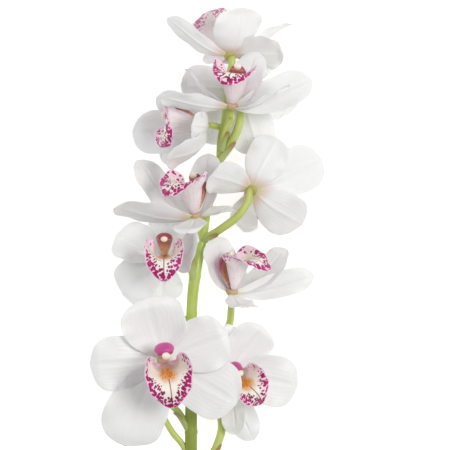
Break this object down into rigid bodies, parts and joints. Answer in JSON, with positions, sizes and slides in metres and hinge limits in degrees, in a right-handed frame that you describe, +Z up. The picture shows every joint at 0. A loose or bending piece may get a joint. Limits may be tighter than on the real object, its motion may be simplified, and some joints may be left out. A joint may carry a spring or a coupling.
{
  "type": "cymbidium orchid stem",
  "caption": "Cut cymbidium orchid stem lying down, with white blooms and magenta-spotted lips, used as a cut flower in an arrangement.",
  "frame": {"origin": "middle of the bounding box on the surface the stem lies on", "axes": "+X to the right of the flower stem as seen from above, +Y along the stem from its cut end to its top bloom, +Z up from the surface"},
  "size_m": [0.1746, 0.491, 0.1141],
  "materials": {
    "tepal_white": "soft satin petal",
    "lip_pink": "soft satin petal with magenta spots",
    "column_rose": "waxy satin",
    "cap_cream": "waxy satin",
    "stem_green": "smooth satin skin"
  },
  "bodies": {
    "root": {"bloom_01_tepals": "tepal_white", "bloom_01_lip": "lip_pink", "bloom_01_column": "column_rose", "bloom_01_anther_cap": "cap_cream", "bloom_02_tepals": "tepal_white", "bloom_02_lip": "lip_pink", "bloom_02_column": "column_rose", "bloom_02_anther_cap": "cap_cream", "bloom_03_tepals": "tepal_white", "bloom_03_lip": "lip_pink", "bloom_03_column": "column_rose", "bloom_03_anther_cap": "cap_cream", "bloom_04_tepals": "tepal_white", "bloom_04_lip": "lip_pink", "bloom_04_column": "column_rose", "bloom_04_anther_cap": "cap_cream", "bloom_05_tepals": "tepal_white", "bloom_05_lip": "lip_pink", "bloom_05_column": "column_rose", "bloom_05_anther_cap": "cap_cream", "bloom_06_tepals": "tepal_white", "bloom_06_lip": "lip_pink", "bloom_06_column": "column_rose", "bloom_06_anther_cap": "cap_cream", "bloom_07_tepals": "tepal_white", "bloom_07_lip": "lip_pink", "bloom_07_column": "column_rose", "bloom_07_anther_cap": "cap_cream", "bloom_08_tepals": "tepal_white", "bloom_08_lip": "lip_pink", "bloom_08_column": "column_rose", "bloom_08_anther_cap": "cap_cream", "bloom_09_tepals": "tepal_white", "bloom_09_lip": "lip_pink", "bloom_09_column": "column_rose", "bloom_09_anther_cap": "cap_cream", "bloom_10_tepals": "tepal_white", "bloom_10_lip": "lip_pink", "bloom_10_column": "column_rose", "bloom_10_anther_cap": "cap_cream", "stem": "stem_green"}
  },
  "joints": []
}
